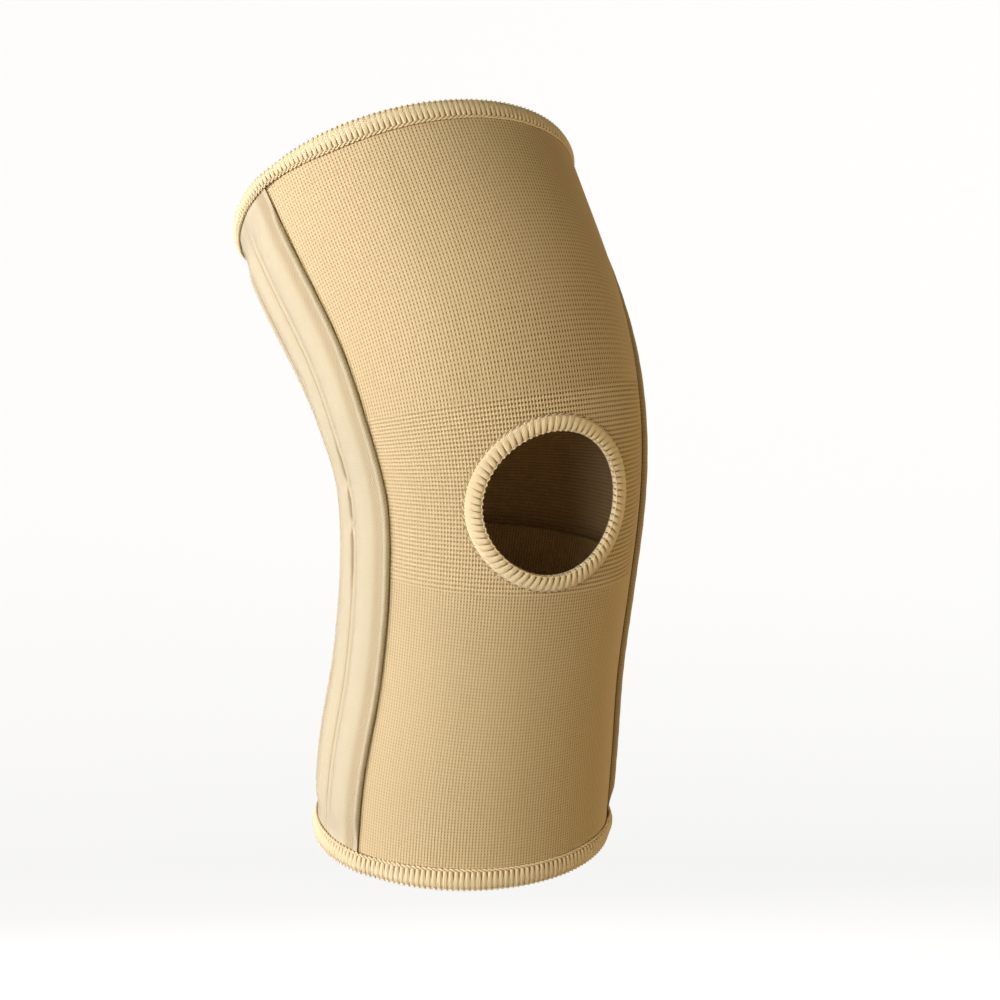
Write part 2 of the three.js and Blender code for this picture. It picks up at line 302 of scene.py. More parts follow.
def facing_out(groups, flip):
    """The face groups, with each face turned over where flip is set."""
    if not flip:
        return groups
    return [(faces[:, ::-1], {key: uv[:, ::-1] for key, uv in uvs.items()}) for faces, uvs in groups]


def spread(values, low, high):
    """Values scaled to run from low to high."""
    values = np.asarray(values, float)
    return low + (high - low) * (values - values.min()) / (values.max() - values.min())


def tubes(paths, guide, radius, sides, closed=False):
    """Tubes along paths (n, m, 3): points, groups. guide lies across each path and sets the frame."""
    if closed:
        tangent = np.roll(paths, -1, 1) - np.roll(paths, 1, 1)
    else:
        tangent = np.gradient(paths, axis=1)
    tangent = unit(tangent)
    first = unit(guide - tangent * (guide * tangent).sum(-1, keepdims=True))
    second = np.cross(tangent, first)
    turn = 2 * math.pi * np.arange(sides) / sides
    radius = np.broadcast_to(radius, paths.shape[:2])[..., None, None]
    ring = first[:, :, None] * np.cos(turn)[:, None] + second[:, :, None] * np.sin(turn)[:, None]
    points = paths[:, :, None] + radius * ring
    count, steps = paths.shape[:2]
    one = grid_faces(steps, sides, closed, True)
    faces = (one[None] + (np.arange(count) * steps * sides)[:, None, None]).reshape(-1, 4)
    lengths = np.linalg.norm(np.diff(paths, axis=1), axis=-1).cumsum(1)
    along = np.concatenate([np.zeros((count, 1)), lengths], 1) / MM
    wrap = along[:, -1] + along[:, 1]
    uv, bake = [], []
    for i in range(count):
        end = wrap[i] if closed else None
        uv.append(grid_uv(np.arange(sides) / sides, along[i], 1.0, end))
        across = (i + np.arange(sides) / sides * 0.9) / count
        rows = np.linspace(0.01, 0.97, steps)
        bake.append(grid_uv(across, rows, (i + 0.9) / count, 0.99 if closed else None))
    groups = [(faces, {"Thread": np.concatenate(uv), "OFBake": np.concatenate(bake)})]
    if not closed:
        start = np.arange(count)[:, None] * steps * sides
        caps = [start + np.arange(sides)[::-1], start + (steps - 1) * sides + np.arange(sides)]
        flat = np.zeros((count, sides, 2))
        groups += [(cap, {"Thread": flat, "OFBake": flat}) for cap in caps]
    return points.reshape(-1, 3), groups


# Materials

class Nodes:
    """A material's node tree, written as short expressions."""

    def __init__(self, name):
        self.material = bpy.data.materials.new(name)
        self.material.use_nodes = True
        self.tree = self.material.node_tree
        self.tree.nodes.clear()

    def add(self, kind, **settings):
        node = self.tree.nodes.new(kind)
        for key, value in settings.items():
            setattr(node, key, value)
        return node

    def put(self, socket, value):
        if isinstance(value, bpy.types.NodeSocket):
            self.tree.links.new(value, socket)
        else:
            socket.default_value = value

    def math(self, operation, *values):
        node = self.add("ShaderNodeMath", operation=operation)
        for socket, value in zip(node.inputs, values):
            self.put(socket, value)
        return node.outputs[0]

    def plus(self, *values):
        total = values[0]
        for value in values[1:]:
            total = self.math("ADD", total, value)
        return total

    def times(self, *values):
        product = values[0]
        for value in values[1:]:
            product = self.math("MULTIPLY", product, value)
        return product

    def wave(self, value):
        """0 to 1 and back once for each whole number, 1 at whole numbers."""
        return self.math("MULTIPLY_ADD", self.math("COSINE", self.times(value, 2 * math.pi)), 0.5, 0.5)

    def off_middle(self, value):
        """Distance from the nearest half number: 0 there, 0.5 at whole numbers."""
        return self.math("ABSOLUTE", self.math("SUBTRACT", self.math("FRACT", value), 0.5))

    def fall(self, value, full, none):
        """1 up to full, 0 from none on, smooth between."""
        node = self.add("ShaderNodeMapRange", interpolation_type="SMOOTHSTEP")
        for socket, item in zip(node.inputs, (value, full, none, 1.0, 0.0)):
            self.put(socket, item)
        return node.outputs[0]

    def uv(self, layer):
        node = self.add("ShaderNodeUVMap", uv_map=layer)
        split = self.add("ShaderNodeSeparateXYZ")
        self.put(split.inputs[0], node.outputs[0])
        return split.outputs[0], split.outputs[1]

    def attribute(self, name):
        return self.add("ShaderNodeAttribute", attribute_name=name).outputs["Fac"]

    def vector(self, x, y, z=0.0):
        node = self.add("ShaderNodeCombineXYZ")
        for socket, value in zip(node.inputs, (x, y, z)):
            self.put(socket, value)
        return node.outputs[0]

    def position(self):
        return self.add("ShaderNodeTexCoord").outputs["Object"]

    def noise(self, where, scale, detail=2.0):
        node = self.add("ShaderNodeTexNoise")
        self.put(node.inputs["Vector"], where)
        self.put(node.inputs["Scale"], scale)
        self.put(node.inputs["Detail"], detail)
        return node.outputs["Fac"]

    def mix(self, amount, first, second, how="MIX"):
        node = self.add("ShaderNodeMix", data_type="RGBA", blend_type=how)
        self.put(node.inputs["Factor"], amount)
        self.put(node.inputs["A"], first)
        self.put(node.inputs["B"], second)
        return node.outputs["Result"]

    def finish(self, colour, height, roughness, sheen, tint):
        """The shader: height is the bump's relief in millimetres."""
        bump = self.add("ShaderNodeBump")
        self.put(bump.inputs["Distance"], MM)
        self.put(bump.inputs["Height"], height)
        shader = self.add("ShaderNodeBsdfPrincipled")
        self.put(shader.inputs["Base Color"], colour)
        self.put(shader.inputs["Roughness"], roughness)
        self.put(shader.inputs["Specular IOR Level"], 0.2)
        self.put(shader.inputs["Sheen Weight"], sheen)
        self.put(shader.inputs["Sheen Roughness"], 0.5)
        self.put(shader.inputs["Sheen Tint"], tint)
        self.put(shader.inputs["Normal"], bump.outputs[0])
        output = self.add("ShaderNodeOutputMaterial")
        self.put(output.inputs[0], shader.outputs[0])
        return self.material


def rgb(r, g, b):
    return (r, g, b, 1.0)


KNIT_COLOUR = rgb(0.70, 0.52, 0.29)
# Painted shade: the dark brown mixed into the knit's pits and grooves, the band's grooves and creases and the
# lip's ribs
PAINTED_SHADE_COLOUR = rgb(0.20, 0.11, 0.045)
BAND_COLOUR = rgb(0.545, 0.465, 0.32)
GROOVE_COLOUR = rgb(0.42, 0.27, 0.12)
THREAD_COLOUR = rgb(0.78, 0.63, 0.40)
# Painted shade: the lip under the stitches is this dark brown for the shade that falls there
LIP_SHADE_COLOUR = rgb(0.34, 0.21, 0.09)
CREAM = rgb(1.0, 0.93, 0.80)

# Noise scales of the fibres on each cloth, and pitches of the patterns in mm
KNIT_FUZZ = 4200.0
BAND_FUZZ = 3800.0
THREAD_FUZZ = 5200.0
JERSEY_WALE = 0.62
JERSEY_COURSE = 0.9
TWILL = 0.95
TWILL_SLOPE = 0.75
PLY = 0.8
LIP_RIB = 0.7
LIP_COURSE = 0.9


def streaked(n, colour, wale, where):
    """The yarn's own colour: soft patches, and streaks that follow the wales."""
    patches = n.noise(where, 28.0, 3.0)
    streaks = n.noise(n.vector(n.times(wale, 0.9), 0.3), 1.0, 1.0)
    amount = n.plus(n.times(patches, 0.35), n.times(streaks, 0.45))
    return n.mix(amount, colour, rgb(*(0.86 * c for c in colour[:3])))


def fine_knit_material():
    n = Nodes("fine_knit")
    wale, course = n.uv("Knit")
    where = n.position()
    opened = n.attribute("opened")
    half_on = n.plus(course, 0.5)
    groove = n.fall(n.off_middle(wale), 0.04, 0.30)
    # Painted shade: the grooves between the wales are coloured darker, the more so where the stitches are
    # opened
    shaded = n.times(groove, n.math("MULTIPLY_ADD", opened, 0.26, 0.16))
    pit = n.times(n.fall(n.off_middle(wale), 0.13, 0.31), n.fall(n.off_middle(half_on), 0.12, 0.32))
    on_wale = n.fall(n.off_middle(n.plus(wale, 0.5)), 0.05, 0.25)
    between = n.times(on_wale, n.fall(n.off_middle(course), 0.05, 0.3))
    uneven = n.noise(n.vector(n.times(wale, 0.8), n.times(course, 0.8)), 1.0, 1.0)
    fuzz = n.noise(where, KNIT_FUZZ, 3.0)
    colour = streaked(n, KNIT_COLOUR, wale, where)
    # Painted shade in the grooves, in the pits and between the stitch heads, where the bump relief sinks too
    colour = n.mix(shaded, colour, PAINTED_SHADE_COLOUR)
    dark = n.times(pit, n.math("MULTIPLY_ADD", uneven, 0.7, 0.1), n.math("MULTIPLY_ADD", opened, 1.9, 0.45))
    colour = n.mix(dark, colour, PAINTED_SHADE_COLOUR)
    colour = n.mix(n.times(between, 0.15), colour, PAINTED_SHADE_COLOUR)
    relief = n.plus(n.times(groove, -0.09), n.times(pit, -0.14), n.times(between, -0.05))
    height = n.plus(relief, n.times(uneven, 0.10), n.times(fuzz, 0.05))
    roughness = n.math("MULTIPLY_ADD", fuzz, 0.15, 0.78)
    return n.finish(colour, height, roughness, 0.25, CREAM)


def knee_knit_material():
    n = Nodes("knee_knit")
    wale, course = n.uv("Knit")
    where = n.position()
    opened = n.attribute("opened")
    row = n.fall(n.off_middle(course), 0.08, 0.27)
    slot = n.times(n.fall(n.off_middle(course), 0.14, 0.25), n.fall(n.off_middle(wale), 0.24, 0.39))
    twist = n.wave(n.plus(n.times(course, 2.0), n.times(n.off_middle(wale), 2.0)))
    uneven = n.noise(n.vector(n.times(wale, 0.7), n.times(course, 0.9)), 1.0, 1.0)
    fuzz = n.noise(where, KNIT_FUZZ, 3.0)
    colour = streaked(n, KNIT_COLOUR, wale, where)
    # Painted shade: the rows, the slots and the twist are coloured darker where the bump relief sinks
    colour = n.mix(n.times(row, opened, 0.05), colour, PAINTED_SHADE_COLOUR)
    dark = n.times(slot, opened, n.math("MULTIPLY_ADD", uneven, 0.5, 0.75))
    colour = n.mix(dark, colour, PAINTED_SHADE_COLOUR)
    colour = n.mix(n.times(twist, 0.07), colour, PAINTED_SHADE_COLOUR)
    height = n.plus(n.times(row, -0.02), n.times(slot, -0.2), n.times(twist, -0.03), n.times(fuzz, 0.05))
    roughness = n.math("MULTIPLY_ADD", fuzz, 0.15, 0.78)
    return n.finish(colour, height, roughness, 0.25, CREAM)


def band_material():
    n = Nodes("band_jersey")
    across, along = n.uv("Cloth")
    where = n.position()
    aside = n.math("ABSOLUTE", across)
    margin = n.times(n.fall(aside, 20.5, 20.8), n.math("SUBTRACT", 1.0, n.fall(aside, 14.0, 17.6)))
    painted_shade = n.attribute("painted_shade")
    cord = n.times(n.math("SUBTRACT", 1.0, n.fall(aside, 20.8, 21.1)), 0.5)
    in_wale = n.times(across, 1 / JERSEY_WALE)
    wales = n.wave(in_wale)
    courses = n.wave(n.plus(n.times(along, 1 / JERSEY_COURSE), n.times(n.off_middle(in_wale), 0.8)))
    twill = n.wave(n.times(n.plus(across, n.times(along, TWILL_SLOPE)), 1 / TWILL))
    fuzz = n.noise(where, BAND_FUZZ, 3.0)
    patches = n.noise(where, 22.0, 3.0)
    bands = n.noise(n.vector(n.times(along, 0.8), 0.0), 1.0, 1.0)
    colour = n.mix(n.plus(n.times(patches, 0.2), n.times(bands, 0.12)), BAND_COLOUR, KNIT_COLOUR)
    # Painted shade in the jersey's grooves
    colour = n.mix(n.times(wales, courses, 0.07), colour, PAINTED_SHADE_COLOUR)
    ribbed = n.math("MAXIMUM", margin, cord)
    # Painted shade in the twill's grooves on the margin and the turned edge
    colour = n.mix(n.times(ribbed, twill, 0.36), colour, PAINTED_SHADE_COLOUR)
    colour = n.mix(n.times(margin, 0.34), colour, GROOVE_COLOUR)
    # Painted shade read from the point values: in the seam, the slot, on the turned edge's outer wall and on
    # the underside
    colour = n.mix(painted_shade, colour, PAINTED_SHADE_COLOUR)
    weave = n.plus(n.times(wales, -0.035), n.times(courses, -0.03), n.times(fuzz, 0.04), n.times(bands, 0.05))
    height = n.plus(weave, n.times(ribbed, twill, -0.12))
    roughness = n.math("MULTIPLY_ADD", fuzz, 0.15, 0.72)
    return n.finish(colour, height, roughness, 0.3, CREAM)


def thread_material():
    n = Nodes("overlock_thread")
    around, along = n.uv("Thread")
    where = n.position()
    ply = n.wave(n.plus(n.times(along, 1 / PLY), n.times(around, 2.0)))
    fuzz = n.noise(where, THREAD_FUZZ, 3.0)
    patches = n.noise(where, 260.0, 2.0)
    colour = n.mix(n.times(patches, 0.25), THREAD_COLOUR, KNIT_COLOUR)
    # Painted shade in the grooves between the plies
    colour = n.mix(n.times(ply, 0.10), colour, GROOVE_COLOUR)
    height = n.plus(n.times(ply, -0.012), n.times(fuzz, 0.006))
    return n.finish(colour, height, n.math("MULTIPLY_ADD", fuzz, 0.15, 0.68), 0.2, CREAM)


def lip_material():
    n = Nodes("lip_knit_painted_shade")
    across, along = n.uv("Thread")
    where = n.position()
    ribs = n.wave(n.times(along, 1 / LIP_RIB))
    fuzz = n.noise(where, KNIT_FUZZ, 3.0)
    # Painted shade: the lip's dark base colour, varied at random, with painted shade in its ribs as well
    colour = n.mix(n.times(n.noise(where, 300.0), 0.6), LIP_SHADE_COLOUR, GROOVE_COLOUR)
    colour = n.mix(n.times(ribs, n.wave(n.times(across, 1 / LIP_COURSE)), 0.3), colour, PAINTED_SHADE_COLOUR)
    height = n.plus(n.times(ribs, -0.06), n.times(fuzz, 0.05))
    return n.finish(colour, height, 0.85, 0.15, CREAM)


# The knitted sleeve

def wale_places(front_steps, back_steps):
    """Places round the leg in wales, at these shares of each wale in front and behind."""
    places = []
    for wale in range(WALES):
        angle = wale * 360 / WALES
        aside = min(angle, 360 - angle)
        steps = front_steps if aside < 90 else back_steps
        if UNDER_BAND[0] < aside < UNDER_BAND[1]:
            steps = (0.0,) if wale % 3 == 0 else ()
        places += [wale + step for step in steps]
    return np.array(places)


def fine_relief(wale, course, opened):
    """Ridges on whole wales, with a pit beside each whole course in the grooves between."""
    in_groove = np.abs(wale % 1 - 0.5) < 0.2
    at_pit = np.abs((course + 0.5) % 1 - 0.5) < 0.2
    groove = np.where(at_pit, -0.28 - 0.26 * opened, -0.15)
    return np.where(in_groove, groove, np.where(at_pit, 0.11, 0.07))


def knee_relief(wale, course, opened):
    """A net of yarn, raised along the courses, with a row of square holes between each two."""
    hole_row = np.abs(course % 1 - 0.5) < 0.2
    hole_column = np.abs(wale % 1 - 0.5) < 0.3
    low = np.where(hole_column, -0.02 - 0.5 * opened, 0.06)
    return np.where(hole_row, low, np.where(hole_column, 0.08, 0.11))


def how_open(height, angle):
    """How far the stitches are stretched open: most at the top and the inner side of the knee. It also sets
    how dark the painted shade in the pits and grooves is.
    """
    signed = (angle + 180) % 360 - 180
    sideways = smoothstep(-80, 30, signed) * (1 - smoothstep(100, 170, signed))
    upward = smoothstep(KNEE_ZONE[0] - 15, KNEE_ZONE[1], height)
    beyond = np.maximum(height - KNEE_ZONE[1], KNEE_ZONE[0] - height)
    near = 1 - smoothstep(0, 34, beyond)
    return (0.20 + 0.50 * sideways + 0.30 * upward * sideways) * (0.60 + 0.40 * near)


def with_end_rows(rows, gap):
    """The rows with one more close to each end, so that the shading turns only there."""
    return np.concatenate([rows[:1], rows[:1] + gap, rows[1:-1], rows[-1:] - gap, rows[-1:]])


def sleeve_zone(name, heights, courses, places, relief, material):
    """A closed ring of knit, with one outer row per course value and a plain inner face."""
    heights = with_end_rows(heights, END_ROW)
    courses = with_end_rows(courses, END_ROW)
    angles = places * 360 / WALES
    wale, course = np.meshgrid(places, courses)
    height, angle = np.meshgrid(heights, angles, indexing="ij")
    opened = how_open(height, angle)
    lift = relief(wale, course, opened)
    lift[[0, 1, -2, -1]] = ZONE_EDGE_LIFT
    outer = surface(height, angle, lift)
    inner_heights = np.linspace(heights[-1], heights[0], INNER_ROWS)
    inner = surface(inner_heights[:, None], angles[None], -KNIT_WALL)
    points = np.concatenate([outer, inner]).reshape(-1, 3)
    faces = grid_faces(len(heights) + INNER_ROWS, len(angles), True, True)
    inner_courses = np.interp(inner_heights, heights, courses)
    knit_uv = grid_uv(places, np.append(courses, inner_courses), WALES, courses[0])
    bake_rows = np.append(spread(heights, 0.01, 0.70), spread(-inner_heights, 0.73, 0.97))
    bake_uv = grid_uv(places / WALES * 0.98 + 0.01, bake_rows, 0.99, 0.99)
    piece = make_piece(name, points, [(faces, {"Knit": knit_uv, "OFBake": bake_uv})], material)
    point_values(piece, "opened", np.concatenate([opened, np.full_like(inner[..., 0], 0.4)]))
    return piece


def fine_zone(name, low, high, pitch, material):
    count = round((high - low) / pitch)
    courses = 0.5 + np.arange(2 * count + 1) / 2
    heights = np.linspace(low, high, len(courses))
    places = wale_places((0.0, 0.5), (0.0, 0.5))
    return sleeve_zone(name, heights, courses, places, fine_relief, material)


def knee_zone(name, material):
    """The courses lie evenly along the front, so they crowd behind the knee."""
    gap = 0.01
    ladder = np.linspace(KNEE_ZONE[0] + gap, KNEE_ZONE[1] - gap, 200)
    front = np.linalg.norm(np.diff(surface(ladder, 0.0, 0.0), axis=0), axis=1) / MM
    reached = np.concatenate([[0.0], np.cumsum(front)])
    count = round(reached[-1] / KNEE_COURSE)
    steps = np.array([0.0, 0.34, 0.66])
    courses = np.append((np.arange(count)[:, None] + steps).ravel(), float(count))
    heights = np.interp(courses * reached[-1] / count, reached, ladder)
    places = wale_places((0.10, 0.30, 0.70, 0.90), (0.0,))
    piece = sleeve_zone(name, heights, courses, places, knee_relief, material)
    cut_hole(piece)
    return piece


def cut_hole(piece):
    """Cuts the kneecap hole, with its edge inside the rim."""
    radius = (HOLE_RADIUS + RIM_WALL + CLEARANCE) * MM
    sides = 96
    turn = 2 * math.pi * np.arange(sides) / sides
    ring = radius * (np.cos(turn)[:, None] * HOLE_ACROSS + np.sin(turn)[:, None] * HOLE_UP)
    reach = KNEE_RADIUS / 2 * MM
    points = np.concatenate([HOLE_MIDDLE + ring - reach * HOLE_OUT, HOLE_MIDDLE + ring + reach * HOLE_OUT])
    walls = grid_faces(2, sides, False, True)
    caps = np.stack([np.arange(sides)[::-1], sides + np.arange(sides)])
    cutter = make_piece("hole_cutter", points, [(walls, {}), (caps, {})], piece.data.materials[0])
    cut = piece.modifiers.new("hole", "BOOLEAN")
    cut.object = cutter
    cut.operation = "DIFFERENCE"
    cut.solver = "MANIFOLD"
    done = bpy.data.meshes.new_from_object(piece.evaluated_get(bpy.context.evaluated_depsgraph_get()))
    piece.modifiers.clear()
    piece.data = done
    done.name = piece.name
    bpy.data.objects.remove(cutter)


# The side bands

BAND_LOW = KNIT_BOTTOM + BOTTOM_HEM_HEIGHT
BAND_HIGH = KNIT_TOP - TOP_HEM_HEIGHT


# The outer side of a band's turned edge, from its foot: mm in from the band's edge, lift, and how dark the
# shade painted on it is.
CORD_SIDE = ((0.30, 0.35, 0.66), (0.10, 0.58, 0.48), (0.02, 0.86, 0.05))
# The points over the turned edge, in mm in from the band's edge, closest where it curves most.
CORD_TOP = (0.0, 0.04, 0.15, 0.4, 0.7, 1.05, 1.4, 1.7, 1.95, 2.1, 2.2, 2.3, 2.45, 2.7)


def ripple(value, seed, lengths=(31.0, 13.0, 7.3)):
    """A smooth irregular curve between about -1 and 1."""
    total = 0
    for k, length in enumerate(lengths, 1):
        total = total + np.sin(2 * math.pi * value / length + seed * k) / k
    return total / 1.6


def seam_form(height):
    """Half the way between the seam's two ridges, how far it gapes and how far it is pinched."""
    bent = smoothstep(*GAPE_START, height) * (1 - smoothstep(*GAPE_END, height))
    pinch = sum(bump(height, place, PINCH_HALF) for place in SEAM_PINCHES)
    gape = bent * np.clip(1 - pinch, 0, 1)
    return SEAM_APART + SEAM_GAPE * (gape - bent * pinch), gape, bent * pinch


def band_lift(across, height, seed):
    """Outer face of a band, and how dark the shade painted into its seam and slot is: across in mm from its
    middle.
    """
    aside = np.abs(across)
    to_hem = np.minimum(BAND_HIGH - height, height - BAND_LOW)
    fade = smoothstep(-CLEARANCE, CHANNEL_FADE, to_hem)
    crown = smoothstep(*CHANNEL_START, aside) * (1 - smoothstep(*CHANNEL_END, aside))
    channel = CHANNEL_RISE * crown ** 0.7
    cord = np.sqrt(np.clip(1 - ((aside - FOLD_MIDDLE) / FOLD_HALF) ** 2, 0, 1))
    slot = bump(aside, SLOT_MIDDLE, SLOT_HALF)
    ridge, gape, pinch = seam_form(height)
    inside = 1 - smoothstep(ridge - 0.95, ridge - 0.15, aside)
    seam = SEAM_RISE * (1 + 0.3 * gape) * bump(aside, ridge, SEAM_HALF)
    beside = bump(aside, ridge + 1.3, 0.55)
    valley = -inside * (0.35 + 0.5 * gape) - 0.25 * beside
    dent = -0.55 * pinch * bump(aside, 4.2, 1.5)
    folds = ripple(height + 3 * across, seed + 2, (9.1, 4.7))
    slack = 0.10 * ripple(height, seed) * crown + 0.05 * folds
    relief = channel + FOLD_RISE * cord - 0.25 * slot + seam + valley + dent + slack
    # Painted shade in and beside the seam's valley and in the slot, weaker near the hems
    dark = np.maximum(inside * (0.45 + 0.3 * gape), 0.30 * beside)
    painted_shade = np.maximum(dark, 0.66 * slot) * (0.4 + 0.6 * fade)
    base = BAND_BASE - BAND_PINCH * (1 - fade)
    return base + relief * (0.08 + 0.92 * fade), painted_shade


def band_columns():
    """Places of the points across a band's outer face, close together at its edges and its seam."""
    side = BAND_HALF - np.array([inset for inset, _, _ in CORD_SIDE])
    cord = BAND_HALF - np.array(CORD_TOP)
    margin = np.arange(19.8, 17.9, -0.5)
    crown = np.arange(17.5, 4.6, -0.85)
    near_seam = np.arange(4.2, 0.1, -0.3)
    one_half = np.concatenate([side, cord, margin, crown, near_seam])
    return np.concatenate([-one_half, [0.0], one_half[::-1]])


def side_band(name, way, seed, material):
    """A band on one side: way is 1 on the inner side and -1 on the outer side."""
    top = band_columns()
    foot = BAND_HALF - 0.6
    under = np.linspace(foot, -foot, 18)
    heights = np.linspace(KNIT_BOTTOM, KNIT_TOP, 290)
    middle = column("seam", share(heights))
    wobble = 0.05 * ripple(heights, seed + 5)

    def place(across, lift):
        shifted = across + wobble[:, None] * smoothstep(17, 22, np.abs(across))
        angle = middle[:, None] + shifted * per_mm(heights)[:, None]
        return surface(heights[:, None], way * angle, lift)

    across = np.broadcast_to(top, (len(heights), len(top)))
    lift, painted_shade = band_lift(across, heights[:, None], seed)
    for i, (_, side_lift, side_shade) in enumerate(CORD_SIDE):
        lift[:, [i, -1 - i]] = side_lift
        painted_shade[:, [i, -1 - i]] = side_shade
    upper = place(across, lift)
    lower = place(np.broadcast_to(under, (len(heights), len(under))), CLEARANCE)
    points = np.concatenate([upper, lower], 1)
    columns = points.shape[1]
    faces = grid_faces(len(heights), columns, False, True)
    caps = np.stack([np.arange(columns)[::-1], (len(heights) - 1) * columns + np.arange(columns)])
    cloth = grid_uv(np.append(top, under), heights, -BAND_HALF)
    bake_across = np.append(spread(top, 0.01, 0.66), spread(-under, 0.69, 0.97))
    bake = grid_uv(bake_across, spread(heights, 0.01, 0.99), 0.99)
    flat = np.full((2, columns, 2), 0.995)
    groups = [(faces, {"Cloth": cloth, "OFBake": bake}), (caps, {"Cloth": flat, "OFBake": flat})]
    piece = make_piece(name, points.reshape(-1, 3), facing_out(groups, way < 0), material)
    # Painted shade on the band's underside as well
    point_values(piece, "painted_shade", np.concatenate([painted_shade, np.full_like(lower[..., 0], 0.6)], 1))
    return piece


# Overlocked edges

def band_cover(height, angle, ramp):
    """1 where a band lies under the hem, 0 from the ramp's length beside it on."""
    signed = np.abs((angle + 180) % 360 - 180)
    past = np.abs(signed - column("seam", share(height))) / per_mm(height) - BAND_HALF
    return 1 - smoothstep(CLEARANCE, ramp, past)


class Edge:
    """An edge that is overlocked. The places of its stitches are lifts out of the knit."""

    def on_cloth(self, turn):
        return self.cover(turn) - LIP_CLEARANCE + CHAIN_LIFT

    def at_corner(self, turn):
        return self.cover(turn) + self.wall - CORNER_DEPTH


class HemEdge(Edge):
    """One end of the tube. way is 1 at the top and -1 at the bottom."""

    def __init__(self, edge, way, width):
        self.edge, self.way, self.widest, self.wall = edge, way, width, HEM_WALL
        self.length = math.radians(360) * KNEE_RADIUS * float(column("side", share(edge)))
        self.stitch, self.bundle = HEM_STITCH, 4
        self.pillow = 0.10 if way > 0 else 0.22
        self.drawn_in = 0.45 if way > 0 else 0.15
        # How far the lip reaches past the hem onto the cloth at alternate points: dashes of painted shadow
        # under the chain
        self.shadow_flange = (1.2, 0.7)
        self.turned = way < 0

    def width(self, turn):
        """The hem is drawn in a little where it crosses a band."""
        return self.widest * (1 - self.drawn_in * band_cover(self.edge, turn, 42.0))

    def cover(self, turn):
        band = BAND_BASE - BAND_PINCH
        return LIP_CLEARANCE + band_cover(self.edge, turn, 3 * HEM_RAMP) * band

    def place(self, turn, aside, inset, lift):
        angle = turn + aside * per_mm(self.edge)
        return surface(self.edge - self.way * inset, angle, lift)


class HoleEdge(Edge):
    """The edge of the kneecap hole, the same way."""

    def __init__(self):
        self.wall = RIM_WALL
        self.length = 2 * math.pi * (HOLE_RADIUS + RIM_WIDTH / 2)
        self.stitch, self.bundle = RIM_STITCH, 5
        self.pillow = 0.28
        # How far the lip's painted shadow reaches past the rim onto the cloth, all round
        self.shadow_flange = (1.0, 1.0)
        self.turned = True

    def width(self, turn):
        return np.full(np.shape(turn), RIM_WIDTH)

    def cover(self, turn):
        return np.full(np.shape(turn), LIP_CLEARANCE)

    def place(self, turn, aside, inset, lift):
        angle = np.radians(turn) + aside / (HOLE_RADIUS + RIM_WIDTH / 2)
        return hole_place(HOLE_RADIUS + inset, angle, lift)


# The way of a strand over the edge: inset as a share of the width, how far out as a share of the
# lip's thickness, lift beyond that in mm, and how far its bundle is spread on a hem and on the rim.
STRAND_WAY = np.array([
    (1.02, 1.00, -0.55, 0.40, 0.78),
    (0.95, 1.00, -0.12, 0.44, 0.92),
    (0.80, 1.00, 0.12, 0.60, 0.90),
    (0.58, 1.00, 0.24, 0.84, 0.78),
    (0.34, 1.00, 0.22, 0.98, 0.64),
    (0.15, 0.97, 0.06, 0.80, 0.50),
    (0.03, 0.78, 0.00, 0.82, 0.48),
    (0.00, 0.50, 0.00, 0.95, 0.60),
    (0.03, 0.22, 0.00, 0.95, 0.74),
    (0.18, 0.00, 0.02, 0.95, 0.80),
    (0.60, 0.00, 0.00, 0.80, 0.90),
    (0.96, 0.00, 0.40, 0.50, 0.90),
])


def stitch_count(edge):
    """An even number, so that a two-ply thread closes round the edge."""
    return 2 * round(edge.length / edge.stitch / 2)


def strands(edge, on_rim, slant):
    """Bundles of strands that wrap the edge. slant is how far a stitch drifts along the edge, in mm."""
    count = stitch_count(edge)
    turn = np.repeat(np.arange(count) * 360 / count, edge.bundle)[:, None]
    fan = np.tile(np.linspace(-0.5, 0.5, edge.bundle), count)[:, None]
    gap = edge.stitch - 2 * STRAND_RADIUS
    inset, out, extra, on_hem, round_hole = STRAND_WAY.T
    opened = round_hole if on_rim else on_hem
    jitter = chance.normal(0, JITTER, (edge.bundle * count, 1))
    lean = np.repeat(chance.normal(0.0, LEAN, count), edge.bundle)[:, None]
    aside = (fan * gap * 1.2 + jitter) * opened + (slant + lean) * (0.5 - inset)
    outside = edge.cover(turn) + edge.wall - STRAND_RADIUS
    inside = -KNIT_WALL - LIP_CLEARANCE - edge.wall + STRAND_RADIUS
    pillow = edge.pillow * (1 - (2 * fan) ** 2)
    pillow = pillow + chance.normal(0, PILLOW_JITTER, (edge.bundle * count, 1))
    lift = inside + (outside - inside) * out + extra + pillow * (out > 0.9)
    deeper = inset * edge.width(turn)
    paths = edge.place(turn, aside, deeper, lift)
    guide = edge.place(turn, aside + 0.1, deeper, lift) - paths
    taper = np.ones(len(STRAND_WAY))
    taper[[0, 1, -1]] = 0.7, 0.95, 0.7
    return tubes(paths, guide, STRAND_RADIUS * MM * taper, THREAD_SIDES)


def rope(edge, inset, lift, apart, radius):
    """Two threads twisted round each other along the edge, crossing once for each stitch."""
    count = stitch_count(edge)
    steps = 5
    place = np.arange(count * steps) / steps
    turn = np.broadcast_to(place * 360 / count, (2, count * steps))
    phase = math.pi * (place[None] + np.array([[0.0], [1.0]]))
    wander = 0.05 * ripple(place, 3, (7.3, 3.1))
    deep = inset(turn) + wander + apart * np.cos(phase)
    height = lift(turn) + 0.8 * apart * np.sin(phase)
    paths = edge.place(turn, 0.0, deep, height)
    guide = edge.place(turn, 0.0, deep, height + 0.1) - paths
    return tubes(paths, guide, radius * MM, THREAD_SIDES, closed=True)


